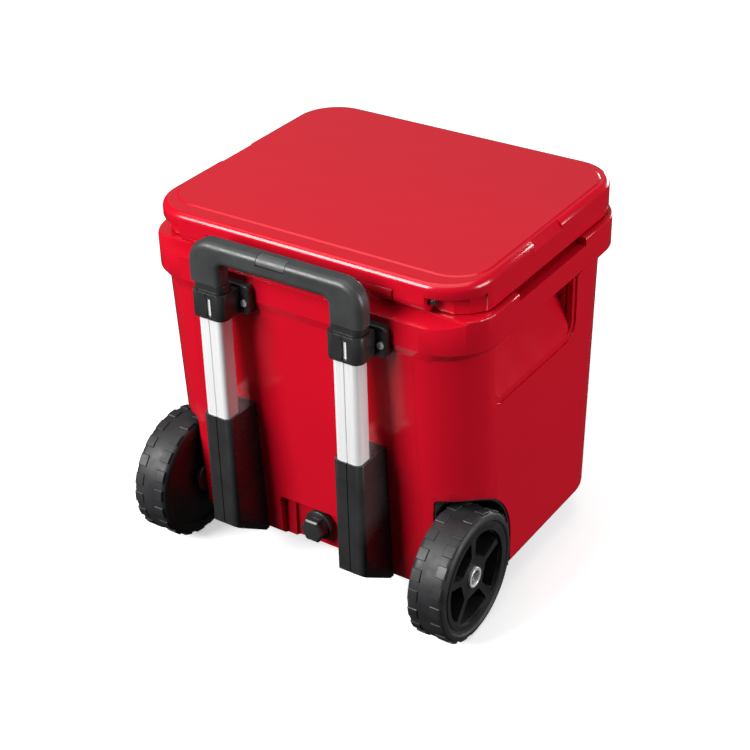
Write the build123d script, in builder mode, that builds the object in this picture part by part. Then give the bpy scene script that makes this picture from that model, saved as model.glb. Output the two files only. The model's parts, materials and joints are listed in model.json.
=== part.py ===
"""Wheeled cooler chest: insulated tub, hinged lid, two front latches, telescopic handle and two wheels.

Millimetres. +Z is up, +X is right seen from the front, and the handle and wheels are at the back, +Y.
The origin is on the floor, under the middle of the chest's bounding box.
"""

from build123d import *
import os

# ---------------------------------------------------------------- driving dimensions

SIDES = (("left", -1), ("right", 1))

# outer wall of the tub: height, half width, back face, front face, corner radius
WALL_LOW = (42.0, 238.0, 158.5, -200.0, 70.0)
WALL_HIGH = (401.0, 239.5, 177.0, -218.5, 74.0)
BASE_EDGE = 12.0

# rim band round the top of the tub
RIM_HALF_WIDTH = 248.5
RIM_BACK = 181.0
RIM_FRONT = -233.0
RIM_CORNER = 70.0
RIM_CHAMFER_TOP = 413.0
RIM_TOP = 456.0
LEDGE_START = 157.0
LEDGE_INNER_Z = 453.5
LEDGE_OUTER_Z = 446.0

# walls and insulation
SHELL = 5.0
LINER = 4.0
FLANGE = (208.0, 138.0, -192.0, 56.0)
FLANGE_THICK = 4.0

# inside of the liner
CAVITY_LOW = (78.0, 178.0, 110.0, -166.0, 36.0)
CAVITY_HIGH = (RIM_TOP, 183.0, 118.0, -172.0, 40.0)
HUMP_X = 164.0
HUMP_Y = 30.0
HUMP_Z = 224.0

# wheels and the wells that they stand in
WHEEL_RADIUS = 88.7
WHEEL_Y = 154.0
WHEEL_INNER_X = 193.0
WHEEL_OUTER_X = 246.5
TYRE_BORE = 71.0
WELL_RADIUS = 100.0
WELL_Y = 156.0
WELL_Z = 93.0
WELL_INNER_X = 186.0
WELL_CORNER = 10.0
HOUSING_WALL = 3.0
AXLE_RADIUS = 6.0
AXLE_RUN = 0.05

# hand pockets in the side walls and strap slots in the rim
POCKET_FRONT = -98.0
POCKET_BACK = 101.0
POCKET_LOW = 321.0
POCKET_HIGH = 414.0
POCKET_DEPTH = 40.0
POCKET_GROOVES = ((210.0, 384.0), (219.0, 364.0), (228.0, 345.0))
SLOT_FRONT = -106.0
SLOT_BACK = 65.0
SLOT_FLOOR = 446.0
SLOT_DEPTH = 34.0

# drain
DRAIN_Z = 77.0
DRAIN_BORE = 7.0
DRAIN_PIPE = 10.0
DRAIN_FLOOR = 144.0
DRAIN_CAP_RADIUS = 21.5
DRAIN_HEAD_RADIUS = 18.5
DRAIN_RECESS_TOP = 109.0
DRAIN_SUMP_FLOOR = 66.0

# lid
LID_HALF_WIDTH = 240.0
LID_BACK = 172.0
LID_FRONT = -232.0
LID_CORNER = 62.0
LID_BOTTOM = 458.0
LID_TOP = 502.0
LID_PANEL_RISE = 1.5
LID_PANEL = (228.0, 144.0, -212.0, 47.0)
LID_SPACE = (232.0, 128.0, -224.0, 54.0)
LID_EDGE = 9.0
SCOOP = ((181.0, 151.0), (208.0, 150.0), (224.0, 140.0), (237.0, 124.0))
SCOOP_TOP = 482.0
LID_OPENING = (206.0, 126.0, -190.0, 50.0)

# hinge
HINGE_Y = 158.0
HINGE_Z = 472.5
HINGE_RELIEF = 14.0
KNUCKLE_RADIUS = 12.5
KNUCKLE_X = (32.0, 135.0)
LID_POCKET_X = (29.0, 139.0)
PIN_RADIUS = 3.5
PIN_X = (20.0, 181.3)

# front latches
LATCH_X = 150.0
LATCH_WIDTH = 44.0
LATCH_PIN_Y = -238.2
LATCH_PIN_Z = 426.0
LATCH_FRONT = -242.7
LATCH_OPEN = 188.0

# telescopic handle
TUBE_X = 101.0
TUBE_Y = 210.5
TUBE_SIZE = (36.0, 27.0, 7.0)
TUBE_WALL = 2.2
TUBE_LOW = 92.0
TUBE_HIGH = 433.0
GROOVE_WIDTH = 1.6
GROOVE_DEPTH = 1.1
SLIDE_GAP = 0.3
MID_SIZE = (TUBE_SIZE[0] - 2 * (TUBE_WALL + SLIDE_GAP), TUBE_SIZE[1] - 2 * (TUBE_WALL + SLIDE_GAP), 4.6)
MID_WALL = 1.4
MID_LOW = 106.0
MID_HIGH = 445.0
INNER_SIZE = (MID_SIZE[0] - 2 * (MID_WALL + SLIDE_GAP), 15.0, 3.0)
INNER_WALL = 1.4
INNER_LOW = 114.0
INNER_HIGH = 479.0
GRIP_HALF_WIDTH = 128.0
GRIP_LEG = 48.0
GRIP_LOW = 446.5
GRIP_BAR_LOW = 476.0
GRIP_TOP = 505.0
GRIP_FRONT = 201.0
GRIP_BACK = 225.5
GRIP_EDGE = 9.0
YOKE_LOW = 486.0
YOKE_HIGH = 492.0
BUTTON_HALF_WIDTH = 20.6
BUTTON_FRONT = 212.0
BUTTON_LOW = 495.0
BUTTON_TRAVEL = 2.0
BUTTON_GAP = 0.8

# clearances and screws of the brackets
MID_CLEAR = (MID_SIZE[0] + 0.8, MID_SIZE[1] + 0.8, MID_SIZE[2] + 0.4)
INNER_CLEAR = (INNER_SIZE[0] + 0.8, INNER_SIZE[1] + 0.8, INNER_SIZE[2] + 0.4)
EAR_REACH = 39.5
EAR_Z = (397.0, 438.0)
EAR_FACE = 192.5
SCREW_OFFSET = 32.0
SCREW_Z = 414.0


# ---------------------------------------------------------------- helpers

os.makedirs("parts", exist_ok=True)


def save(builder, label):
    """Label a finished piece and write it as its own file."""
    builder.part.label = label
    export_step(builder.part, f"parts/{label}.step")


def rounded_loft(low, high):
    """Solid between two level rounded rectangles."""
    with BuildPart() as form:
        for z, half, back, front, radius in (low, high):
            with BuildSketch(Plane.XY.offset(z)):
                with Locations((0, (back + front) / 2)):
                    RectangleRounded(2 * half, back - front, radius)
        loft(ruled=True)
    return form.part


def grown(section, by):
    """A rounded rectangle section grown outwards by a distance, at the same height."""
    z, half, back, front, radius = section
    return (z, half + by, back + by, front - by, radius + by)


def at_height(low, high, z):
    """The section of a tapered form at height z."""
    share = (z - low[0]) / (high[0] - low[0])
    return (z,) + tuple(a + (b - a) * share for a, b in zip(low[1:], high[1:]))


def plate(outline, low, high):
    """Level plate with a rounded rectangle outline."""
    half, back, front, radius = outline
    return rounded_loft((low, half, back, front, radius), (high, half, back, front, radius))


def block(x, y, z):
    """Box given by its limits on each axis."""
    with BuildPart() as form:
        with Locations(((x[0] + x[1]) / 2, (y[0] + y[1]) / 2, (z[0] + z[1]) / 2)):
            Box(x[1] - x[0], y[1] - y[0], z[1] - z[0])
    return form.part


def rod_x(radius, y, z, x):
    """Round bar along X between two limits."""
    low, high = min(x), max(x)
    with BuildPart() as form:
        with BuildSketch(Plane.YZ.offset(low)):
            with Locations((y, z)):
                Circle(radius)
        extrude(amount=high - low)
    return form.part


def rod_y(radius, x, z, y):
    """Round bar along Y between two limits."""
    with BuildPart() as form:
        with BuildSketch(Plane.XZ.offset(-y[0])):
            with Locations((x, z)):
                Circle(radius)
        extrude(amount=-(y[1] - y[0]))
    return form.part


def profile_x(points, x):
    """Straight bar along X with a polygon section in Y and Z."""
    with BuildPart() as form:
        with BuildSketch(Plane.YZ.offset(min(x))):
            with BuildLine():
                Polyline(*points, close=True)
            make_face()
        extrude(amount=max(x) - min(x))
    return form.part


def tube(size, wall, centre_x, low, high):
    """Rounded rectangular tube standing on end; a wall of None makes it solid."""
    width, depth, radius = size
    with BuildPart() as form:
        with BuildSketch(Plane.XY.offset(low)):
            with Locations((centre_x, TUBE_Y)):
                RectangleRounded(width, depth, radius)
                if wall:
                    RectangleRounded(width - 2 * wall, depth - 2 * wall, radius - wall, mode=Mode.SUBTRACT)
        extrude(amount=high - low)
    return form.part


# ---------------------------------------------------------------- recesses shared by shell and insulation


def pocket(side, grow=0.0):
    """Wedge-shaped hand pocket: deep under the rim, running out to nothing at its lower edge."""
    low, high = POCKET_LOW - grow, POCKET_HIGH + grow
    front, back = POCKET_FRONT - grow, POCKET_BACK + grow
    inner = RIM_HALF_WIDTH - 9.0 - POCKET_DEPTH - grow
    outer = RIM_HALF_WIDTH + 12.0
    with BuildPart() as form:
        with BuildSketch(Plane.XZ.offset(-back)):
            with BuildLine():
                Polyline(
                    (side * outer, low),
                    (side * (239.0 - 2.0 - grow), low),
                    (side * (inner + 5.0), high - 22.0),
                    (side * inner, high - 8.0),
                    (side * inner, high),
                    (side * outer, high),
                    close=True,
                )
            make_face()
        extrude(amount=back - front)
        with BuildSketch(Plane.YZ.offset(side * 190.0)):
            with BuildLine():
                Polyline(
                    (front, high),
                    (front, low),
                    (back, low),
                    (back, high - 13.0),
                    (back - 26.0, high - 13.0),
                    (back - 38.0, high),
                    close=True,
                )
            make_face()
            fillet(vertices().group_by(Axis.Y)[0], 18.0)
            fillet(vertices().group_by(Axis.Y)[-2], 6.0)
        extrude(amount=side * 80.0, mode=Mode.INTERSECT)
    return form.part


def pocket_border(side):
    """Shallow step in the side wall round the lower part of the hand pocket."""
    x = sorted((side * 236.8, side * 262.0))
    with BuildPart() as form:
        add(block(x, (POCKET_FRONT - 7.0, POCKET_BACK + 9.0), (POCKET_LOW - 8.0, WALL_HIGH[0])))
        fillet(form.edges().filter_by(Axis.X).group_by(Axis.Z)[0], 24.0)
    return form.part


def pocket_grooves(side):
    """Three upright grooves in the front end wall of the hand pocket."""
    with BuildPart() as form:
        for x, low in POCKET_GROOVES:
            span = sorted((side * (x - 1.5), side * (x + 1.5)))
            add(block(span, (POCKET_FRONT - 3.4, POCKET_FRONT + 2.0), (low, POCKET_HIGH - 3.0)))
    return form.part


def strap_slot(side, grow=0.0):
    """Slot between rim and lid, half way along each side."""
    inner = RIM_HALF_WIDTH - SLOT_DEPTH - grow
    x = sorted((side * inner, side * 270.0))
    return block(x, (SLOT_FRONT - grow, SLOT_BACK + grow), (SLOT_FLOOR - grow, RIM_TOP + 20.0))


def well(side, grow=0.0):
    """Space for a wheel: an arch in front with a level roof behind, open below and at the back."""
    x = sorted((side * (WELL_INNER_X - grow), side * 270.0))
    radius = WELL_RADIUS + grow
    with BuildPart() as form:
        with BuildSketch(Plane.YZ.offset(x[0])):
            with Locations((WELL_Y, WELL_Z)):
                Circle(radius)
                Rectangle(radius, 3 * radius, align=(Align.MAX, Align.MAX))
            with Locations((WELL_Y, WELL_Z + radius)):
                Rectangle(radius, 4 * radius, align=(Align.MIN, Align.MAX))
        extrude(amount=x[1] - x[0])
        inner_face = form.faces().filter_by(Axis.X).sort_by(Axis.X)[0 if side > 0 else -1]
        fillet(inner_face.edges().filter_by_position(Axis.Z, WELL_Z, WELL_Z + radius), WELL_CORNER)
    return form.part


def drain_recess(grow=0.0):
    """Stepped recess in the back wall round the drain, open below."""
    low = 20.0
    steps = ((56.0, DRAIN_RECESS_TOP, DRAIN_FLOOR + 5.0), (40.0, DRAIN_RECESS_TOP - 4.0, DRAIN_FLOOR))
    with BuildPart() as form:
        for half, top, floor in steps:
            with BuildSketch(Plane.XZ.offset(-(floor - grow))):
                with Locations((0, low)):
                    Rectangle(2 * (half + grow), top + grow - low, align=(Align.CENTER, Align.MIN))
                fillet(vertices().group_by(Axis.Y)[-1], 6.0)
            extrude(amount=-60.0)
        fillet(form.edges().filter_by(Axis.Z).group_by(Axis.Y)[0], 3.9)
    return form.part


def interior(grow=0.0):
    """Food space with a sump at the drain, narrowed at the back below by the wheel wells."""
    low = (CAVITY_LOW[0] - grow,) + grown(CAVITY_LOW, grow)[1:]
    mouth = at_height(CAVITY_LOW, CAVITY_HIGH, RIM_TOP + 20.0)
    form = rounded_loft(low, grown(mouth, grow))
    sump_back = CAVITY_LOW[2] + 3.0
    sump_x = (-24.0 - grow, 24.0 + grow)
    form += block(sump_x, (70.0 - grow, sump_back + grow), (DRAIN_SUMP_FLOOR - grow, 104.0 + grow))
    for _, side in SIDES:
        x = sorted((side * (HUMP_X + grow), side * 260.0))
        form -= block(x, (HUMP_Y + grow, 200.0), (0.0, HUMP_Z - grow))
    return form


RECESSES = [
    [make(side, grow) for make in (pocket, strap_slot, well) for _, side in SIDES] + [drain_recess(grow)]
    for grow in (0.0, SHELL)
]
TUB_OUTSIDE = rounded_loft(WALL_LOW, WALL_HIGH) + rounded_loft(
    WALL_HIGH, (RIM_CHAMFER_TOP, RIM_HALF_WIDTH, RIM_BACK, RIM_FRONT, RIM_CORNER)
) + plate((RIM_HALF_WIDTH, RIM_BACK, RIM_FRONT, RIM_CORNER), RIM_CHAMFER_TOP, 440.0)
INTERIOR = interior()
INTERIOR_OUTSIDE = interior(LINER)
PINS = {name: rod_x(PIN_RADIUS, HINGE_Y, HINGE_Z, [side * x for x in PIN_X]) for name, side in SIDES}


# ---------------------------------------------------------------- tub


def foam_space():
    """Everything between the outer shell and the liner."""
    middle = at_height(WALL_LOW, WALL_HIGH, 392.0)
    low = grown((WALL_LOW[0] + SHELL,) + at_height(WALL_LOW, WALL_HIGH, WALL_LOW[0] + SHELL)[1:], -SHELL)
    space = rounded_loft(low, grown(middle, -SHELL))
    half, back, front, radius = FLANGE
    space += plate((half, back, front, radius), 390.0, RIM_TOP - FLANGE_THICK)
    for recess in RECESSES[1]:
        space -= recess
    return space


FOAM_SPACE = foam_space()


def tub_shell():
    """Outer shell with its rim band, ledge, hinge knuckles and every recess."""
    rim_section = (RIM_HALF_WIDTH, RIM_BACK, RIM_FRONT, RIM_CORNER)
    with BuildPart() as shell:
        add(rounded_loft(WALL_LOW, WALL_HIGH))
        fillet(shell.faces().sort_by(Axis.Z)[0].edges(), BASE_EDGE)
        add(rounded_loft(WALL_HIGH, (RIM_CHAMFER_TOP,) + rim_section))
        add(plate(rim_section, RIM_CHAMFER_TOP, RIM_TOP))
        fillet(shell.faces().sort_by(Axis.Z)[-1].outer_wire().edges(), 2.5)
        # sloping ledge behind the lid
        add(
            profile_x(
                [
                    (LEDGE_START, RIM_TOP + 5.0),
                    (LEDGE_START, LEDGE_INNER_Z),
                    (RIM_BACK, LEDGE_OUTER_Z),
                    (RIM_BACK + 20.0, LEDGE_OUTER_Z - 6.0),
                    (RIM_BACK + 20.0, RIM_TOP + 5.0),
                ],
                (-260.0, 260.0),
            ),
            mode=Mode.SUBTRACT,
        )
        for recess in RECESSES[0]:
            add(recess, mode=Mode.SUBTRACT)
        for _, side in SIDES:
            add(pocket_border(side), mode=Mode.SUBTRACT)
            add(pocket_grooves(side), mode=Mode.SUBTRACT)
        add(FOAM_SPACE, mode=Mode.SUBTRACT)
        add(plate(FLANGE, RIM_TOP - FLANGE_THICK - 1.0, RIM_TOP + 1.0), mode=Mode.SUBTRACT)
        # hinge knuckles
        for name, side in SIDES:
            x = [side * value for value in KNUCKLE_X]
            add(rod_x(KNUCKLE_RADIUS, HINGE_Y, HINGE_Z, x))
            foot = [
                (HINGE_Y - KNUCKLE_RADIUS, RIM_TOP - 3.0),
                (HINGE_Y - KNUCKLE_RADIUS, HINGE_Z),
                (HINGE_Y, HINGE_Z),
                (HINGE_Y, RIM_TOP - 3.0),
            ]
            add(profile_x(foot, x))
            add(rod_x(PIN_RADIUS, HINGE_Y, HINGE_Z, [side * value for value in PIN_X]), mode=Mode.SUBTRACT)
        # latch lugs on the rim
        for _, side in SIDES:
            for edge in (-1, 1):
                inner = side * LATCH_X + edge * (LATCH_WIDTH / 2 + 0.6)
                outer = side * LATCH_X + edge * (LATCH_WIDTH / 2 + 6.6)
                lug = [
                    (RIM_FRONT + 2.0, LATCH_PIN_Z - 12.0),
                    (LATCH_FRONT + 3.5, LATCH_PIN_Z - 4.5),
                    (LATCH_FRONT, LATCH_PIN_Z - 2.0),
                    (LATCH_FRONT, LATCH_PIN_Z + 2.0),
                    (LATCH_FRONT + 3.5, LATCH_PIN_Z + 4.5),
                    (RIM_FRONT + 2.0, LATCH_PIN_Z + 12.0),
                ]
                add(profile_x(lug, (inner, outer)))
            span = (side * LATCH_X - LATCH_WIDTH / 2 - 7.0, side * LATCH_X + LATCH_WIDTH / 2 + 7.0)
            add(rod_x(2.5, LATCH_PIN_Y, LATCH_PIN_Z, span), mode=Mode.SUBTRACT)
        # bores for the drain pipe
        add(rod_y(DRAIN_PIPE, 0, DRAIN_Z, (105.0, 150.0)), mode=Mode.SUBTRACT)
    return shell


def tub_liner():
    """White inner tub with a flange that closes the top of the insulation."""
    with BuildPart() as liner:
        add(INTERIOR_OUTSIDE & block((-300, 300), (-300, 300), (0, RIM_TOP - 1.0)))
        add(plate(FLANGE, RIM_TOP - FLANGE_THICK, RIM_TOP))
        add(INTERIOR, mode=Mode.SUBTRACT)
        add(rod_y(DRAIN_PIPE, 0, DRAIN_Z, (105.0, 125.0)), mode=Mode.SUBTRACT)
    return liner


def tub_foam():
    """Insulation that fills the space between shell and liner."""
    with BuildPart() as foam:
        add(FOAM_SPACE)
        add(INTERIOR_OUTSIDE, mode=Mode.SUBTRACT)
        add(rod_y(DRAIN_PIPE, 0, DRAIN_Z, (105.0, 150.0)), mode=Mode.SUBTRACT)
    return foam


def foot(side):
    """Rubber front foot, tapered towards the floor."""
    with BuildPart() as piece:
        with BuildSketch(Plane.XY):
            with Locations((side * 150.0, -140.0)):
                RectangleRounded(56, 46, 16)
        with BuildSketch(Plane.XY.offset(WALL_LOW[0])):
            with Locations((side * 150.0, -140.0)):
                RectangleRounded(66, 56, 20)
        loft(ruled=True)
        chamfer(piece.faces().sort_by(Axis.Z)[0].edges(), 3.0)
    return piece


# ---------------------------------------------------------------- drain


def drain_pipe():
    """Pipe through the back wall with an outside flange."""
    with BuildPart() as pipe:
        add(rod_y(DRAIN_PIPE, 0, DRAIN_Z, (113.2, 163.0)))
        add(rod_y(19.0, 0, DRAIN_Z, (DRAIN_FLOOR, DRAIN_FLOOR + 3.0)))
        add(rod_y(DRAIN_BORE, 0, DRAIN_Z, (105.0, 170.0)), mode=Mode.SUBTRACT)
    return pipe


def drain_seal():
    """Rubber washer between the cap and the pipe's flange."""
    with BuildPart() as seal:
        add(rod_y(18.0, 0, DRAIN_Z, (DRAIN_FLOOR + 3.1, DRAIN_FLOOR + 5.1)))
        add(rod_y(DRAIN_PIPE + 0.3, 0, DRAIN_Z, (DRAIN_FLOOR, DRAIN_FLOOR + 9.0)), mode=Mode.SUBTRACT)
    return seal


def drain_cap():
    """Screw cap: a round skirt with a ring behind its six-sided head."""
    start = DRAIN_FLOOR + 5.1
    with BuildPart() as cap:
        add(rod_y(DRAIN_CAP_RADIUS, 0, DRAIN_Z, (start, start + 6.0)))
        fillet(cap.faces().sort_by(Axis.Y)[-1].edges(), 1.5)
        add(rod_y(DRAIN_HEAD_RADIUS - 1.0, 0, DRAIN_Z, (start, start + 12.0)))
        with BuildSketch(Plane.XZ.offset(-(start + 8.0))):
            with Locations((0, DRAIN_Z)):
                RegularPolygon(DRAIN_HEAD_RADIUS, 6)
        extrude(amount=-14.0)
        chamfer(cap.faces().sort_by(Axis.Y)[-1].edges(), 2.0)
        add(rod_y(DRAIN_PIPE + 0.3, 0, DRAIN_Z, (start - 1.0, 166.0)), mode=Mode.SUBTRACT)
    return cap


# ---------------------------------------------------------------- wheels


def wheel_housing(side):
    """Black arch lining with the boss that holds the axle."""
    lining = well(side) & rounded_loft(grown(WALL_LOW, -2.0), grown(WALL_HIGH, -2.0))
    hollow = well(side, -HOUSING_WALL)
    boss = rod_x(20.0, WHEEL_Y, WHEEL_RADIUS, (side * WELL_INNER_X, side * (WHEEL_INNER_X - 1.0)))
    bore = rod_x(AXLE_RADIUS, WHEEL_Y, WHEEL_RADIUS, (side * 170.0, side * 240.0))
    with BuildPart() as housing:
        add(lining)
        add(hollow, mode=Mode.SUBTRACT)
        add(boss)
        add(bore, mode=Mode.SUBTRACT)
    return housing


def axle(side):
    """Stub axle pressed into the housing, with a head that keeps the wheel on."""
    with BuildPart() as piece:
        add(rod_x(AXLE_RADIUS, WHEEL_Y, WHEEL_RADIUS, (side * WELL_INNER_X, side * 240.0)))
        add(rod_x(9.5, WHEEL_Y, WHEEL_RADIUS, (side * 237.0, side * 240.0)))
    return piece


def wheel_bush(side):
    """Plain bearing between axle and hub."""
    with BuildPart() as bush:
        add(rod_x(10.0, WHEEL_Y, WHEEL_RADIUS, (side * (WHEEL_INNER_X + 1.0), side * 236.5)))
        bore = rod_x(AXLE_RADIUS + AXLE_RUN, WHEEL_Y, WHEEL_RADIUS, (side * 190.0, side * 240.0))
        add(bore, mode=Mode.SUBTRACT)
    return bush


def wheel_hub(side):
    """Five-spoke rim with deep pockets between the spokes and a raised lip inside the tyre."""
    inner, outer = WHEEL_INNER_X + 3.0, WHEEL_OUTER_X - 1.5
    dish = outer - 5.0
    with BuildPart() as hub:
        add(rod_x(TYRE_BORE, WHEEL_Y, WHEEL_RADIUS, (side * inner, side * outer)))
        add(rod_x(TYRE_BORE - 7.0, WHEEL_Y, WHEEL_RADIUS, (side * dish, side * (outer + 5.0))), mode=Mode.SUBTRACT)
        with BuildSketch(Plane.YZ.offset(side * (dish - 22.0))):
            with Locations((WHEEL_Y, WHEEL_RADIUS)):
                with PolarLocations(0, 5, 54.0):
                    Polygon((27.0, -14.0), (56.0, -34.0), (63.0, 0.0), (56.0, 34.0), (27.0, 14.0), align=None)
            fillet(vertices(), 4.0)
        extrude(amount=side * 40.0, mode=Mode.SUBTRACT)
        add(rod_x(10.0, WHEEL_Y, WHEEL_RADIUS, (side * 190.0, side * 250.0)), mode=Mode.SUBTRACT)
    return hub


def tyre(side):
    """Solid rubber tyre with rounded shoulders."""
    low, high = WHEEL_INNER_X, WHEEL_OUTER_X
    with BuildPart() as piece:
        add(rod_x(WHEEL_RADIUS, WHEEL_Y, WHEEL_RADIUS, (side * low, side * high)))
        fillet(piece.edges().filter_by(GeomType.CIRCLE), 7.0)
        add(rod_x(TYRE_BORE, WHEEL_Y, WHEEL_RADIUS, (side * (low - 5.0), side * (high + 5.0))), mode=Mode.SUBTRACT)
    return piece


def hub_cap(side):
    """Bright ring round the end of the axle, clipped into the hub."""
    with BuildPart() as cap:
        add(rod_x(14.0, WHEEL_Y, WHEEL_RADIUS, (side * 240.0, side * 243.7)))
        add(rod_x(9.9, WHEEL_Y, WHEEL_RADIUS, (side * 238.0, side * 250.0)), mode=Mode.SUBTRACT)
        fillet(cap.faces().filter_by(Axis.X).sort_by(Axis.X)[-1 if side > 0 else 0].edges(), 1.2)
    return cap


# ---------------------------------------------------------------- lid


def hinge_relief():
    """What is cut from the lid's lower back edge so that it can turn about the hinge pins."""
    relief = block((-250, 250), (HINGE_Y, LID_BACK + 5.0), (LID_BOTTOM - 5.0, HINGE_Z))
    return relief - rod_x(HINGE_RELIEF, HINGE_Y, HINGE_Z, (-250, 250))


def corner_scoop(side):
    """Hollow round the lid's back corner that shows the end of the hinge pin."""
    reach = 262.0
    outline = [*SCOOP, (reach, SCOOP[-1][1]), (reach, LID_BACK + 10.0), (SCOOP[0][0], LID_BACK + 10.0)]
    with BuildPart() as form:
        with BuildSketch(Plane.XY.offset(LID_BOTTOM - 5.0)):
            with BuildLine():
                Polyline(*[(side * x, y) for x, y in outline], close=True)
            make_face()
        extrude(amount=SCOOP_TOP - LID_BOTTOM + 5.0)
    return form.part


def edge_notch(side):
    """Slanting notch in the upper side edge of the lid."""
    with BuildPart() as form:
        with BuildSketch(Plane.XZ.offset(55.0)):
            with BuildLine():
                Polyline(
                    (side * 229.0, LID_TOP + 3.0), (side * 245.0, LID_TOP + 3.0), (side * 245.0, 480.0), close=True
                )
            make_face()
        extrude(amount=-70.0)
    return form.part


def lid_shell():
    """Outer lid with raised panel, hinge relief, corner scoops and latch pockets."""
    outline = (LID_HALF_WIDTH, LID_BACK, LID_FRONT, LID_CORNER)
    panel_foot = grown((LID_TOP - LID_PANEL_RISE - 0.5, *LID_PANEL), 3.0)
    relief = hinge_relief()
    with BuildPart() as lid:
        add(plate(outline, LID_BOTTOM, LID_TOP - LID_PANEL_RISE))
        fillet(lid.faces().sort_by(Axis.Z)[-1].edges(), LID_EDGE)
        add(rounded_loft(panel_foot, (LID_TOP, *LID_PANEL)))
        add(relief, mode=Mode.SUBTRACT)
        # inside space and the opening that the liner closes
        add(plate(LID_SPACE, LID_BOTTOM + 4.0, LID_TOP - 6.0), mode=Mode.SUBTRACT)
        add(plate(LID_OPENING, LID_BOTTOM - 1.0, LID_BOTTOM + 5.0), mode=Mode.SUBTRACT)
        for _, side in SIDES:
            # pocket for the tub's knuckle
            x = sorted(side * value for value in LID_POCKET_X)
            add(block(x, (HINGE_Y - 14.0, LID_BACK + 5.0), (LID_BOTTOM - 5.0, HINGE_Z + 8.5)), mode=Mode.SUBTRACT)
            add(rod_x(KNUCKLE_RADIUS + 1.0, HINGE_Y, HINGE_Z, x), mode=Mode.SUBTRACT)
            add(corner_scoop(side), mode=Mode.SUBTRACT)
            add(edge_notch(side), mode=Mode.SUBTRACT)
            # pocket behind each latch nose
            x = (side * LATCH_X - LATCH_WIDTH / 2 - 2.0, side * LATCH_X + LATCH_WIDTH / 2 + 2.0)
            add(block(x, (LID_FRONT - 5.0, LID_FRONT + 7.5), (471.0, 487.0)), mode=Mode.SUBTRACT)
        span = [side * (PIN_X[1] + 4.0) for _, side in SIDES]
        add(rod_x(PIN_RADIUS + 0.06, HINGE_Y, HINGE_Z, span), mode=Mode.SUBTRACT)
    return lid


def lid_foam():
    """Insulation slab inside the lid."""
    with BuildPart() as foam:
        add(plate(LID_SPACE, LID_BOTTOM + 4.0, LID_TOP - 6.0))
        for _, side in SIDES:
            x = (side * LATCH_X - LATCH_WIDTH / 2 - 4.0, side * LATCH_X + LATCH_WIDTH / 2 + 4.0)
            add(block(x, (LID_FRONT, LID_FRONT + 9.5), (468.0, 490.0)), mode=Mode.SUBTRACT)
    return foam


def lid_liner():
    """White underside of the lid: a plate, and a plug that drops into the tub's mouth."""
    clear = 4.0
    mouth = grown(CAVITY_HIGH, -clear)
    tip = grown(CAVITY_HIGH, -clear - 3.0)
    with BuildPart() as liner:
        add(plate(LID_OPENING, LID_BOTTOM, LID_BOTTOM + 4.0))
        add(rounded_loft((LID_BOTTOM - 12.0, *tip[1:]), (LID_BOTTOM, *mouth[1:])))
    return liner


def lid_gasket():
    """Rubber seal round the plug."""
    outer = grown(CAVITY_HIGH, 12.0)
    inner = grown(CAVITY_HIGH, 4.0)
    with BuildPart() as gasket:
        add(plate(outer[1:], RIM_TOP + 0.1, LID_BOTTOM))
        add(plate(inner[1:], RIM_TOP - 1.0, LID_BOTTOM + 1.0), mode=Mode.SUBTRACT)
    return gasket


def hinge_pin_caps():
    """Black caps on the outer ends of the two hinge pins."""
    with BuildPart() as caps:
        for _, side in SIDES:
            add(rod_x(5.6, HINGE_Y, HINGE_Z, (side * PIN_X[1], side * (PIN_X[1] + 7.7))))
            fillet(caps.edges().filter_by(GeomType.CIRCLE).sort_by(Axis.X)[-1 if side > 0 else 0], 2.0)
    return caps


# ---------------------------------------------------------------- latches


def latch(side):
    """Latch hanging open: barrel on its pin, flat blade, nose that hooks the lid, and a finger tab."""
    x = (side * LATCH_X - LATCH_WIDTH / 2, side * LATCH_X + LATCH_WIDTH / 2)
    closed_blade = [
        (-235.0, LATCH_PIN_Z),
        (-235.0, 473.0),
        (-226.5, 473.0),
        (-226.5, 479.0),
        (-235.0, 482.0),
        (-236.5, 485.5),
        (LATCH_FRONT, 487.0),
        (LATCH_FRONT, 480.0),
        (-240.5, 474.0),
        (-240.5, LATCH_PIN_Z),
    ]
    closed = profile_x(closed_blade, x)
    hanging = closed.rotate(Axis((0, LATCH_PIN_Y, LATCH_PIN_Z), (1, 0, 0)), LATCH_OPEN)
    with BuildPart() as piece:
        add(hanging)
        add(rod_x(4.4, LATCH_PIN_Y, LATCH_PIN_Z, x))
        add(rod_x(2.5 + 0.06, LATCH_PIN_Y, LATCH_PIN_Z, x), mode=Mode.SUBTRACT)
    return piece


def latch_pin(side):
    """Steel pin pressed into the two lugs of a latch."""
    reach = LATCH_WIDTH / 2 + 6.6
    with BuildPart() as pin:
        add(rod_x(2.5, LATCH_PIN_Y, LATCH_PIN_Z, (side * LATCH_X - reach, side * LATCH_X + reach)))
    return pin


# ---------------------------------------------------------------- telescopic handle


def outer_tube(side):
    """Fixed aluminium tube with a narrow groove down its back face."""
    x = side * TUBE_X
    back = TUBE_Y + TUBE_SIZE[1] / 2
    groove = (x - GROOVE_WIDTH / 2, x + GROOVE_WIDTH / 2)
    with BuildPart() as piece:
        add(tube(TUBE_SIZE, TUBE_WALL, x, TUBE_LOW, TUBE_HIGH))
        add(block(groove, (back - GROOVE_DEPTH, back + 1.0), (TUBE_LOW, TUBE_HIGH)), mode=Mode.SUBTRACT)
    return piece


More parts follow.
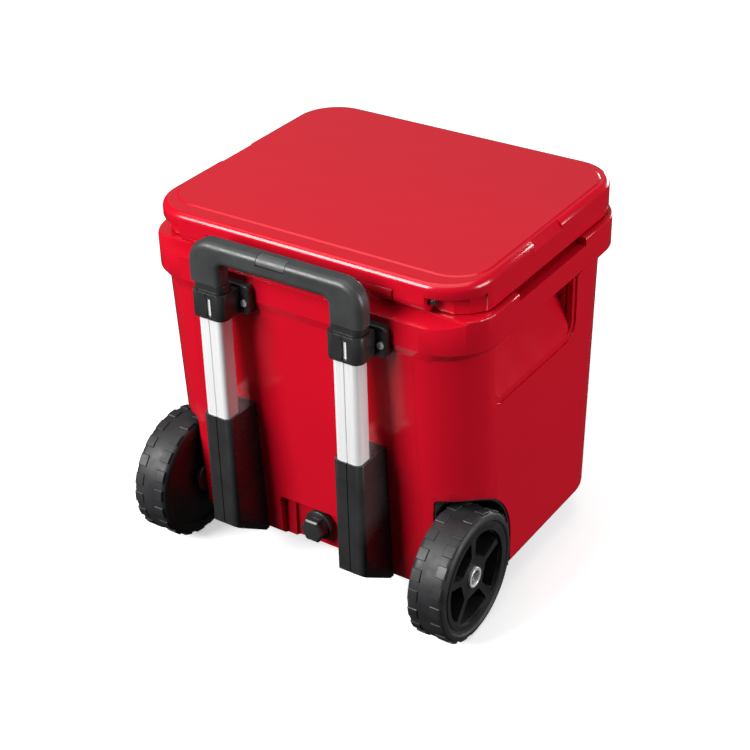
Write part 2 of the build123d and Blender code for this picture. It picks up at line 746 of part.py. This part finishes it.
def top_bracket(side):
    """Clamp round the top of a tube, with an ear each side, and a slit and a window in its back face."""
    centre = side * TUBE_X
    band = (50.0, TUBE_SIZE[1] + 7.0, 11.0)
    back = TUBE_Y + TUBE_SIZE[1] / 2
    with BuildPart() as bracket:
        add(block((centre - EAR_REACH, centre + EAR_REACH), (160.0, EAR_FACE), EAR_Z))
        fillet(bracket.edges().filter_by(Axis.Y), 6.0)
        fillet(bracket.faces().sort_by(Axis.Y)[-1].edges(), 2.5)
        add(block((centre - 25.0, centre + 25.0), (170.0, TUBE_Y), (399.0, 434.0)))
        add(tube(band, None, centre, 399.0, 434.0))
        add(tube(TUBE_SIZE, None, centre, 380.0, TUBE_HIGH), mode=Mode.SUBTRACT)
        add(tube(MID_CLEAR, None, centre, TUBE_HIGH - 1.0, 450.0), mode=Mode.SUBTRACT)
        add(block((centre - 0.6, centre + 0.6), (back - 1.0, 240.0), (390.0, 440.0)), mode=Mode.SUBTRACT)
        add(block((centre - 7.0, centre + 0.6), (back - 1.0, 240.0), (403.0, 428.0)), mode=Mode.SUBTRACT)
        add(TUB_OUTSIDE, mode=Mode.SUBTRACT)
        for edge in (-1, 1):
            x = centre + edge * SCREW_OFFSET
            add(rod_y(2.0, x, SCREW_Z, (150.0, 200.0)), mode=Mode.SUBTRACT)
            add(rod_y(4.9, x, SCREW_Z, (EAR_FACE - 1.5, 200.0)), mode=Mode.SUBTRACT)
    return bracket


def bracket_screws():
    """Four pan-head screws, two through each bracket."""
    with BuildPart() as screws:
        for _, side in SIDES:
            for edge in (-1, 1):
                x = side * TUBE_X + edge * SCREW_OFFSET
                add(rod_y(2.0, x, SCREW_Z, (182.5, EAR_FACE - 1.3)))
                add(rod_y(4.6, x, SCREW_Z, (EAR_FACE - 1.4, EAR_FACE + 1.6)))
    return screws


def lower_socket(side):
    """Moulded socket that holds the lower half of a tube off the back wall."""
    centre = side * TUBE_X
    half = 21.3
    back = 226.0
    with BuildPart() as socket:
        add(block((centre - half, centre + half), (158.0, back), (46.0, 254.0)))
        fillet(socket.edges().filter_by(Axis.Z).group_by(Axis.Y)[-1], 7.5)
        under = [(150.0, 30.0), (150.0, 46.0), (166.0, 46.0), (back + 5.0, 90.0), (back + 5.0, 30.0)]
        add(profile_x(under, (centre - 40.0, centre + 40.0)), mode=Mode.SUBTRACT)
        add(tube(TUBE_SIZE, None, centre, TUBE_LOW, 260.0), mode=Mode.SUBTRACT)
        groove = (centre - GROOVE_WIDTH / 2, centre + GROOVE_WIDTH / 2)
        add(block(groove, (back - GROOVE_DEPTH, back + 2.0), (30.0, 260.0)), mode=Mode.SUBTRACT)
        add(TUB_OUTSIDE, mode=Mode.SUBTRACT)
    return socket


def mid_tube(side):
    """Middle stage of the handle."""
    with BuildPart() as piece:
        add(tube(MID_SIZE, MID_WALL, side * TUBE_X, MID_LOW, MID_HIGH))
    return piece


def mid_collar(side):
    """Plastic collar on top of the middle stage."""
    with BuildPart() as collar:
        add(tube((45.0, 26.0, 9.0), None, side * TUBE_X, 434.4, MID_HIGH + 1.0))
        fillet(collar.faces().sort_by(Axis.Z)[-1].edges(), 1.2)
        add(tube(MID_SIZE, None, side * TUBE_X, 430.0, MID_HIGH), mode=Mode.SUBTRACT)
        add(tube(INNER_CLEAR, None, side * TUBE_X, MID_HIGH - 1.0, 450.0), mode=Mode.SUBTRACT)
    return collar


def mid_foot(side):
    """Guide shoe on the lower end of the middle stage."""
    with BuildPart() as shoe:
        add(tube((MID_SIZE[0] + 0.2, MID_SIZE[1] + 0.2, 4.7), None, side * TUBE_X, MID_LOW - 8.0, MID_LOW))
        chamfer(shoe.faces().sort_by(Axis.Z)[0].edges(), 1.0)
    return shoe


def inner_tube(side):
    """Inner stage, fixed in the grip."""
    with BuildPart() as piece:
        add(tube(INNER_SIZE, INNER_WALL, side * TUBE_X, INNER_LOW, INNER_HIGH))
    return piece


def inner_foot(side):
    """Guide shoe and lock housing on the lower end of the inner stage."""
    with BuildPart() as shoe:
        size = (MID_SIZE[0] - 2 * MID_WALL - 0.4, MID_SIZE[1] - 2 * MID_WALL - 0.4, 3.1)
        add(tube(size, None, side * TUBE_X, INNER_LOW - 6.0, INNER_LOW))
        chamfer(shoe.faces().sort_by(Axis.Z)[0].edges(), 0.8)
    return shoe


def grip_form(inset=0.0):
    """Outer form of the grip: two legs and a bar with rounded edges."""
    half = GRIP_HALF_WIDTH - inset
    leg_inner = GRIP_HALF_WIDTH - GRIP_LEG + inset
    top = GRIP_TOP - inset
    with BuildPart() as form:
        with BuildSketch(Plane.XZ.offset(-(GRIP_BACK - inset))):
            with Locations((0, top)):
                Rectangle(2 * half, top - GRIP_LOW, align=(Align.CENTER, Align.MAX))
            fillet(vertices().group_by(Axis.Y)[-1], 33.0)
            with Locations((0, GRIP_BAR_LOW + inset)):
                Rectangle(2 * leg_inner, 60.0, align=(Align.CENTER, Align.MAX), mode=Mode.SUBTRACT)
            inner_corners = vertices().group_by(Axis.Y)[2]
            fillet(inner_corners, 8.0)
        extrude(amount=GRIP_BACK - GRIP_FRONT - 2 * inset)
        for face, radius in ((form.faces().sort_by(Axis.Y)[-1], GRIP_EDGE), (form.faces().sort_by(Axis.Y)[0], 6.0)):
            fillet(face.edges().filter_by(lambda edge: edge.center().Z > GRIP_LOW + 1.0), radius)
    return form.part


def grip():
    """U-shaped grip with a hollow bar for the release yoke and sockets for the inner tubes."""
    opening = BUTTON_HALF_WIDTH + BUTTON_GAP
    y = (TUBE_Y - 6.5, TUBE_Y + 6.5)
    button_y = (BUTTON_FRONT - BUTTON_GAP, GRIP_BACK + 5.0)
    floor = BUTTON_LOW - BUTTON_TRAVEL - 0.2
    with BuildPart() as piece:
        add(grip_form())
        add(block((-107.0, 107.0), y, (INNER_HIGH, YOKE_HIGH + 5.0)), mode=Mode.SUBTRACT)
        add(block((-opening, opening), button_y, (floor, GRIP_TOP + 5.0)), mode=Mode.SUBTRACT)
        for _, side in SIDES:
            add(tube(INNER_SIZE, None, side * TUBE_X, 440.0, INNER_HIGH), mode=Mode.SUBTRACT)
    return piece


def grip_button():
    """Push button in the upper back edge of the bar, rounded like the bar, on a stem down to the yoke."""
    cap = grip_form(0.2)
    limits = block((-BUTTON_HALF_WIDTH, BUTTON_HALF_WIDTH), (BUTTON_FRONT, 240.0), (BUTTON_LOW, 520.0))
    with BuildPart() as button:
        add(cap & limits)
        add(block((-16.0, 16.0), (BUTTON_FRONT, TUBE_Y + 5.5), (YOKE_HIGH, BUTTON_LOW)))
    return button


def release_yoke():
    """Bar inside the grip that carries the button's push to both release rods."""
    with BuildPart() as yoke:
        add(block((-104.0, 104.0), (TUBE_Y - 4.5, TUBE_Y + 4.5), (YOKE_LOW, YOKE_HIGH)))
        for _, side in SIDES:
            with Locations((side * TUBE_X, TUBE_Y, YOKE_LOW)):
                Cylinder(2.5, 40.0, mode=Mode.SUBTRACT)
    return yoke


def release_rods():
    """Two rods that run down inside the inner tubes."""
    with BuildPart() as rods:
        for _, side in SIDES:
            with Locations((side * TUBE_X, TUBE_Y, INNER_LOW + 6.0)):
                Cylinder(2.5, YOKE_HIGH - INNER_LOW - 6.0, align=(Align.CENTER, Align.CENTER, Align.MIN))
    return rods


def button_spring():
    """Coil spring under the yoke that returns the button."""
    with BuildPart() as spring:
        with BuildLine():
            coil = Helix(pitch=1.9, height=5.7, radius=4.0, center=(0, TUBE_Y, INNER_HIGH + 0.6))
        with BuildSketch(Plane(origin=coil @ 0, z_dir=coil % 0)):
            Circle(0.45)
        sweep(path=coil)
    return spring


# ---------------------------------------------------------------- build every piece

save(tub_shell(), "tub_shell")
save(tub_liner(), "tub_liner")
save(tub_foam(), "tub_foam")
save(drain_pipe(), "drain_pipe")
save(drain_seal(), "drain_seal")
save(drain_cap(), "drain_cap")
save(lid_shell(), "lid_shell")
save(lid_foam(), "lid_foam")
save(lid_liner(), "lid_liner")
save(lid_gasket(), "lid_gasket")
save(hinge_pin_caps(), "hinge_pin_caps")
save(bracket_screws(), "bracket_screws")
save(grip(), "grip")
save(grip_button(), "grip_button")
save(release_yoke(), "release_yoke")
save(release_rods(), "release_rods")
save(button_spring(), "button_spring")

for side_name, side_sign in SIDES:
    with BuildPart() as hinge_pin:
        add(PINS[side_name])
    save(hinge_pin, f"hinge_pin_{side_name}")
    for piece_name, make_piece in (
        ("front_foot", foot),
        ("wheel_housing", wheel_housing),
        ("axle", axle),
        ("wheel_bush", wheel_bush),
        ("wheel_hub", wheel_hub),
        ("tyre", tyre),
        ("hub_cap", hub_cap),
        ("latch", latch),
        ("latch_pin", latch_pin),
        ("outer_tube", outer_tube),
        ("top_bracket", top_bracket),
        ("lower_socket", lower_socket),
        ("mid_tube", mid_tube),
        ("mid_collar", mid_collar),
        ("mid_foot", mid_foot),
        ("inner_tube", inner_tube),
        ("inner_foot", inner_foot),
    ):
        save(make_piece(side_sign), f"{piece_name}_{side_name}")
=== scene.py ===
"""Looks for the wheeled cooler chest: materials, tyres with tread, floor, lights and camera."""

import json
import math

import bmesh
import bpy
from mathutils import Matrix, Vector


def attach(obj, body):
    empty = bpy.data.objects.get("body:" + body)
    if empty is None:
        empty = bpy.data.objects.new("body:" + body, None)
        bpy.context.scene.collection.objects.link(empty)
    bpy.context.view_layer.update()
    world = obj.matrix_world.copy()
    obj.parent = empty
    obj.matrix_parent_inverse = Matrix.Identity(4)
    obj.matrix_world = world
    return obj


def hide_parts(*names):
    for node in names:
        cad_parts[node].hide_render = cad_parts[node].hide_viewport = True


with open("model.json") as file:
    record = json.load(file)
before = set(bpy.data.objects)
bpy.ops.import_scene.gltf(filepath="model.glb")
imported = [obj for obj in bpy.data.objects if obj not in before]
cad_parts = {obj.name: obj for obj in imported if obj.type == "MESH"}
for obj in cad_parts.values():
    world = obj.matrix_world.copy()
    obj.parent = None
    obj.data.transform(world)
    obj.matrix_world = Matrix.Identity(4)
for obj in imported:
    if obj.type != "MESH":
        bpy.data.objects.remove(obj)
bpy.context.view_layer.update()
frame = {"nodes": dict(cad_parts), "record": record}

MM = 0.001
SIDES = ("left", "right")


# ---------------------------------------------------------------- material building blocks


def new_material(name, colour, roughness, metallic=0.0, **sockets):
    """A Principled material with constant values on its own sockets."""
    material = bpy.data.materials.new(name)
    material.use_nodes = True
    shader = material.node_tree.nodes["Principled BSDF"]
    shader.inputs["Base Color"].default_value = (*colour, 1)
    shader.inputs["Roughness"].default_value = roughness
    shader.inputs["Metallic"].default_value = metallic
    for socket, value in sockets.items():
        shader.inputs[socket.replace("_", " ")].default_value = value
    return material, shader


def noise(material, scale, detail=4.0, stretch=(1, 1, 1)):
    """Noise in object coordinates, in features per metre, optionally stretched."""
    nodes, links = material.node_tree.nodes, material.node_tree.links
    place = nodes.new("ShaderNodeTexCoord")
    mapping = nodes.new("ShaderNodeMapping")
    mapping.inputs["Scale"].default_value = stretch
    texture = nodes.new("ShaderNodeTexNoise")
    texture.inputs["Scale"].default_value = scale
    texture.inputs["Detail"].default_value = detail
    links.new(place.outputs["Object"], mapping.inputs["Vector"])
    links.new(mapping.outputs["Vector"], texture.inputs["Vector"])
    return texture.outputs["Fac"]


def ramp(material, factor, stops):
    """Colour ramp from (position, colour) stops; a plain number stands for a grey."""
    node = material.node_tree.nodes.new("ShaderNodeValToRGB")
    material.node_tree.links.new(factor, node.inputs["Fac"])
    elements = node.color_ramp.elements
    while len(elements) < len(stops):
        elements.new(0.5)
    for element, (position, value) in zip(elements, stops):
        element.position = position
        colour = value if isinstance(value, tuple) else (value,) * 3
        element.color = (*colour, 1)
    return node.outputs["Color"]


def link(material, output, shader, socket):
    """Feed an output into a shader socket."""
    material.node_tree.links.new(output, shader.inputs[socket])


def bump(material, shader, height, strength, distance):
    """Bump from a height, its distance in metres; several bumps add up in the order given."""
    node = material.node_tree.nodes.new("ShaderNodeBump")
    node.inputs["Strength"].default_value = strength
    node.inputs["Distance"].default_value = distance
    material.node_tree.links.new(height, node.inputs["Height"])
    normal = shader.inputs["Normal"]
    if normal.is_linked:
        material.node_tree.links.new(normal.links[0].from_socket, node.inputs["Normal"])
    material.node_tree.links.new(node.outputs["Normal"], normal)


def mottled(material, shader, colour, spread, scale):
    """Slight colour variation round the base colour."""
    low = tuple(c * (1 - spread) for c in colour)
    high = tuple(min(1.0, c * (1 + spread)) for c in colour)
    link(material, ramp(material, noise(material, scale), [(0.3, low), (0.7, high)]), shader, "Base Color")


def uneven_gloss(material, shader, low, high, scale):
    """Roughness that varies between two values."""
    link(material, ramp(material, noise(material, scale), [(0.35, low), (0.65, high)]), shader, "Roughness")


# ---------------------------------------------------------------- materials


def moulded_red():
    """Glossy roto-moulded polyethylene: saturated red, faint orange peel."""
    colour = (0.60, 0.004, 0.018)
    coat = {"Coat_Weight": 0.12, "Coat_Roughness": 0.1}
    material, shader = new_material("moulded_red", colour, 0.22, IOR=1.5, **coat)
    mottled(material, shader, colour, 0.012, 9)
    uneven_gloss(material, shader, 0.17, 0.21, 30)
    bump(material, shader, noise(material, 60, 2), 0.04, 0.0004)
    bump(material, shader, noise(material, 900, 3), 0.03, 0.0001)
    return material


def white_liner():
    colour = (0.82, 0.83, 0.83)
    material, shader = new_material("white_liner", colour, 0.3)
    mottled(material, shader, colour, 0.03, 12)
    uneven_gloss(material, shader, 0.26, 0.38, 40)
    bump(material, shader, noise(material, 300, 3), 0.08, 0.0003)
    return material


def insulation():
    colour = (0.86, 0.78, 0.55)
    material, shader = new_material("insulation", colour, 0.9)
    mottled(material, shader, colour, 0.1, 60)
    bump(material, shader, noise(material, 700, 5), 0.5, 0.001)
    return material


def grained_plastic(name, colour, roughness, grain=1400, depth=0.10):
    """Moulded black plastic with a fine spark-eroded grain."""
    material, shader = new_material(name, colour, roughness, IOR=1.5)
    mottled(material, shader, colour, 0.18, 25)
    uneven_gloss(material, shader, roughness - 0.05, roughness + 0.07, 60)
    bump(material, shader, noise(material, grain, 2), depth, 0.0002)
    return material


def tyre_rubber():
    """Dark moulded rubber: dusty variation and a slightly rough skin."""
    colour = (0.022, 0.022, 0.024)
    material, shader = new_material("tyre_rubber", colour, 0.5, IOR=1.5)
    mottled(material, shader, colour, 0.3, 18)
    uneven_gloss(material, shader, 0.42, 0.6, 45)
    bump(material, shader, noise(material, 500, 4), 0.2, 0.0003)
    return material


def brushed_aluminium():
    """Anodised extrusion with fine lines along its length."""
    material, shader = new_material("brushed_aluminium", (0.72, 0.72, 0.73), 0.35, metallic=0.15)
    lines = noise(material, 900, 3, stretch=(1, 1, 0.01))
    shades = [(0.3, (0.84, 0.84, 0.845)), (0.7, (0.96, 0.96, 0.965))]
    link(material, ramp(material, lines, shades), shader, "Base Color")
    link(material, ramp(material, lines, [(0.3, 0.28), (0.7, 0.42)]), shader, "Roughness")
    bump(material, shader, lines, 0.12, 0.0001)
    return material


def turned_steel(name, colour, roughness, metallic=1.0):
    material, shader = new_material(name, colour, roughness, metallic=metallic)
    uneven_gloss(material, shader, roughness - 0.06, roughness + 0.1, 400)
    mottled(material, shader, colour, 0.06, 250)
    bump(material, shader, noise(material, 1500, 2), 0.08, 0.0001)
    return material


MATERIALS = {
    "red_shell": moulded_red(),
    "white_liner": white_liner(),
    "insulation": insulation(),
    "gasket_rubber": grained_plastic("gasket_rubber", (0.03, 0.03, 0.03), 0.6),
    "foot_rubber": grained_plastic("foot_rubber", (0.02, 0.02, 0.021), 0.65, depth=0.2),
    "black_plastic": grained_plastic("black_plastic", (0.028, 0.028, 0.029), 0.3),
    "wheel_plastic": grained_plastic("wheel_plastic", (0.018, 0.018, 0.019), 0.4),
    "bush_plastic": grained_plastic("bush_plastic", (0.6, 0.58, 0.52), 0.5),
    "tyre_rubber": tyre_rubber(),
    "latch_rubber": grained_plastic("latch_rubber", (0.02, 0.02, 0.021), 0.55, depth=0.15),
    "grip_plastic": grained_plastic("grip_plastic", (0.048, 0.049, 0.05), 0.36, grain=2200, depth=0.22),
    # grip button: the grip's plastic in a lighter grey, a painted highlight for its top that faces the
    # light
    "button_painted_highlight": grained_plastic("button_painted_highlight", (0.085, 0.086, 0.088), 0.4, grain=2200, depth=0.22),
    "brushed_aluminium": brushed_aluminium(),
    "steel": turned_steel("steel", (0.55, 0.55, 0.56), 0.3),
    "bright_steel": turned_steel("bright_steel", (0.86, 0.86, 0.87), 0.22, metallic=0.4),
}


# ---------------------------------------------------------------- CAD nodes

SLOTS = {entry["node"]: entry["material_slot"] for entry in frame["record"]["subparts"]}


WELD_DISTANCE = 0.01 * MM
SHARP_EDGE = math.radians(32)


def soften(obj, width):
    """Small rounded edges on a CAD node, so that its corners catch the light."""
    weld = obj.modifiers.new("weld", "WELD")
    weld.merge_threshold = WELD_DISTANCE
    bevel = obj.modifiers.new("edges", "BEVEL")
    bevel.width = width
    bevel.segments = 2
    bevel.limit_method = "ANGLE"
    bevel.angle_limit = SHARP_EDGE
    bevel.use_clamp_overlap = True
    bevel.harden_normals = True


EDGE = {
    "red_shell": 0.8 * MM,
    "black_plastic": 0.5 * MM,
    "wheel_plastic": 0.6 * MM,
    "latch_rubber": 0.8 * MM,
}

# nodes given a lighter copy of their slot's material: the grip button's lighter grey is a painted highlight
# on its top, which faces the light
LOOKS = {"grip_button": "button_painted_highlight"}

for name, node in frame["nodes"].items():
    slot_name = LOOKS.get(name, SLOTS[name])
    node.data.materials.clear()
    node.data.materials.append(MATERIALS[slot_name])


# ---------------------------------------------------------------- tyres with tread


WHEEL_Y = 154.0
WHEEL_Z = 88.7
TREAD_RADIUS = 88.7
CARCASS_RADIUS = 87.3
TYRE_BORE = 71.0
TYRE_INNER = 193.0
TYRE_OUTER = 246.5
SHOULDER = 8.0
SHOULDER_STEPS = 5
TURNS = 120
BLOCKS = 20
BLOCK_ANGLE = math.radians(10.6)
BLOCK_EDGE = 3.6
BLOCK_REACH = 17.5
BLOCK_ROUNDING = 0.8
BLOCK_STEPS = 5


def tyre_profile(inner, outer):
    """Points (x, radius) round the tyre's section, from the bore's inner edge to its outer edge."""
    points = [(inner, TYRE_BORE + 2.0), (inner, CARCASS_RADIUS - SHOULDER - 1.0)]
    turns = [math.radians(90 * step / (SHOULDER_STEPS - 1)) for step in range(SHOULDER_STEPS)]
    for turn in turns:
        drop = SHOULDER * (1 - math.sin(turn))
        points.append((inner + SHOULDER * (1 - math.cos(turn)), CARCASS_RADIUS - drop))
    for turn in turns:
        drop = SHOULDER * (1 - math.cos(turn))
        points.append((outer - SHOULDER * (1 - math.sin(turn)), CARCASS_RADIUS - drop))
    points += [(outer, CARCASS_RADIUS - SHOULDER - 1.0), (outer, 77.5), (outer - 2.2, 75.5)]
    points += [(outer - 3.0, TYRE_BORE), (inner, TYRE_BORE)]
    return points


def on_wheel(x, radius, angle):
    """Point in metres from its place across the wheel, its radius and its angle, in millimetres."""
    y = WHEEL_Y + radius * math.cos(angle)
    z = WHEEL_Z + radius * math.sin(angle)
    return Vector((x * MM, y * MM, z * MM))


def add_block(mesh, x_low, x_high, angle, side):
    """One tread block: a curved pad that stands proud of the carcass, narrower at its top."""
    rings = []
    levels = ((CARCASS_RADIUS - 3.0, 0.0), (TREAD_RADIUS - 0.7, 0.0), (TREAD_RADIUS, BLOCK_ROUNDING))
    for radius, inset in levels:
        ring = []
        half = BLOCK_ANGLE / 2 - inset / TREAD_RADIUS
        for x, sweep in ((x_low + inset, 1), (x_high - inset, -1)):
            for step in range(BLOCK_STEPS):
                place = on_wheel(side * x, radius, angle + sweep * half * (step / 2 - 1))
                ring.append(mesh.verts.new(place))
        rings.append(ring)
    for low, high in zip(rings, rings[1:]):
        for i in range(len(low)):
            j = (i + 1) % len(low)
            mesh.faces.new((low[i], low[j], high[j], high[i]))
    top = rings[-1]
    for i in range(4):
        mesh.faces.new((top[i], top[i + 1], top[8 - i], top[9 - i]))
    bottom = rings[0]
    for i in range(4):
        mesh.faces.new((bottom[9 - i], bottom[8 - i], bottom[i + 1], bottom[i]))


def shade(obj, angle=math.radians(35)):
    """Smooth shading with creases at sharp edges."""
    for face in obj.data.polygons:
        face.use_smooth = True
    obj.data.set_sharp_from_angle(angle=angle)


def finish_mesh(name, mesh, material):
    bmesh.ops.recalc_face_normals(mesh, faces=mesh.faces[:])
    data = bpy.data.meshes.new(name)
    mesh.to_mesh(data)
    mesh.free()
    obj = bpy.data.objects.new(name, data)
    bpy.context.scene.collection.objects.link(obj)
    data.materials.append(material)
    shade(obj)
    return obj


def make_tyre(side_name):
    """Tyre with two staggered rows of tread blocks, in place of the plain CAD tyre."""
    side = -1 if side_name == "left" else 1
    inner, outer = TYRE_INNER, TYRE_OUTER
    mesh = bmesh.new()
    profile = tyre_profile(inner, outer)
    grid = []
    for turn in range(TURNS):
        angle = 2 * math.pi * turn / TURNS
        grid.append([mesh.verts.new(on_wheel(side * x, radius, angle)) for x, radius in profile])
    for turn in range(TURNS):
        here, there = grid[turn], grid[(turn + 1) % TURNS]
        for i in range(len(profile)):
            j = (i + 1) % len(profile)
            mesh.faces.new((here[i], there[i], there[j], here[j]))
    pitch = 2 * math.pi / BLOCKS
    for block in range(BLOCKS):
        add_block(mesh, outer - BLOCK_REACH, outer - BLOCK_EDGE, block * pitch, side)
        add_block(mesh, inner + BLOCK_EDGE, inner + BLOCK_REACH, (block + 0.5) * pitch, side)
    tyre = finish_mesh(f"tread_{side_name}", mesh, MATERIALS["tyre_rubber"])
    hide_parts(f"tyre_{side_name}")
    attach(tyre, f"wheel_{side_name}")


for side_name in SIDES:
    make_tyre(side_name)


# ---------------------------------------------------------------- shading of the CAD nodes

for name, node in frame["nodes"].items():
    if SLOTS[name] in EDGE:
        soften(node, EDGE[SLOTS[name]])


# ---------------------------------------------------------------- floor, light and camera


FLOOR_REACH = 12.0


def floor():
    """Plain white floor that the object's gloss and colour do not pick up."""
    material, shader = new_material("studio_floor", (0.93, 0.93, 0.93), 0.8)
    shader.inputs["Specular IOR Level"].default_value = 0.1
    shader.inputs["Emission Color"].default_value = (1, 1, 1, 1)
    shader.inputs["Emission Strength"].default_value = 0.5
    data = bpy.data.meshes.new("studio_floor")
    corners = [(FLOOR_REACH * x, FLOOR_REACH * y, 0) for x, y in ((-1, -1), (1, -1), (1, 1), (-1, 1))]
    data.from_pydata(corners, [], [(0, 1, 2, 3)])
    data.materials.append(material)
    obj = bpy.data.objects.new("studio_floor", data)
    bpy.context.scene.collection.objects.link(obj)
    obj.visible_glossy = False
    obj.visible_diffuse = False


def softbox(name, place, target, size, power):
    """Square area light aimed at a point."""
    data = bpy.data.lights.new(name, "AREA")
    data.energy = power
    data.shape = "RECTANGLE"
    data.size, data.size_y = size
    obj = bpy.data.objects.new(name, data)
    obj.location = place
    aim = Vector(target) - Vector(place)
    obj.rotation_euler = aim.to_track_quat("-Z", "Y").to_euler()
    bpy.context.scene.collection.objects.link(obj)


def lights():
    """Key from behind, fills at the side and front, a soft top light and a panel for the lid's sheen."""
    world = bpy.data.worlds.new("studio")
    world.use_nodes = True
    world.node_tree.nodes["Background"].inputs["Color"].default_value = (1, 1, 1, 1)
    world.node_tree.nodes["Background"].inputs["Strength"].default_value = 0.03
    bpy.context.scene.world = world
    middle = (0, 0, 0.25)
    softbox("key", (1.42, 2.66, 2.03), middle, (1.8, 1.8), 176)
    softbox("side_fill", (-3.1, -0.8, 0.9), middle, (1.8, 1.4), 76)
    softbox("front_fill", (-0.3, -3.0, 0.55), middle, (1.6, 0.9), 40)
    softbox("overhead", (0.2, 0.2, 3.2), middle, (3.2, 3.2), 46)
    softbox("front_sheen", (1.5, -2.3, 1.8), middle, (3.0, 2.0), 3.5)


CAMERA_PLACE = (-1.0964, 1.6210, 1.4164)
CAMERA_AZIMUTH = math.radians(214.24)
CAMERA_ELEVATION = math.radians(31.18)
CAMERA_ROLL = math.radians(1.56)
LENS = 81.1


def camera():
    """Camera behind the chest, on its left side and above it."""
    azimuth, elevation, roll = CAMERA_AZIMUTH, CAMERA_ELEVATION, CAMERA_ROLL
    right = Vector((math.cos(azimuth), math.sin(azimuth), 0))
    back = Vector((math.sin(azimuth) * math.cos(elevation), -math.cos(azimuth) * math.cos(elevation),
                   math.sin(elevation)))
    up = back.cross(right)
    across = math.cos(roll) * right - math.sin(roll) * up
    upright = math.sin(roll) * right + math.cos(roll) * up
    data = bpy.data.cameras.new("photo_camera")
    data.lens = LENS
    data.sensor_width = 36
    obj = bpy.data.objects.new("photo_camera", data)
    turn = Matrix((across, upright, back)).transposed().to_4x4()
    obj.matrix_world = Matrix.Translation(CAMERA_PLACE) @ turn
    bpy.context.scene.collection.objects.link(obj)
    bpy.context.scene.camera = obj


floor()
lights()
camera()
bpy.context.scene.view_settings.view_transform = "Standard"
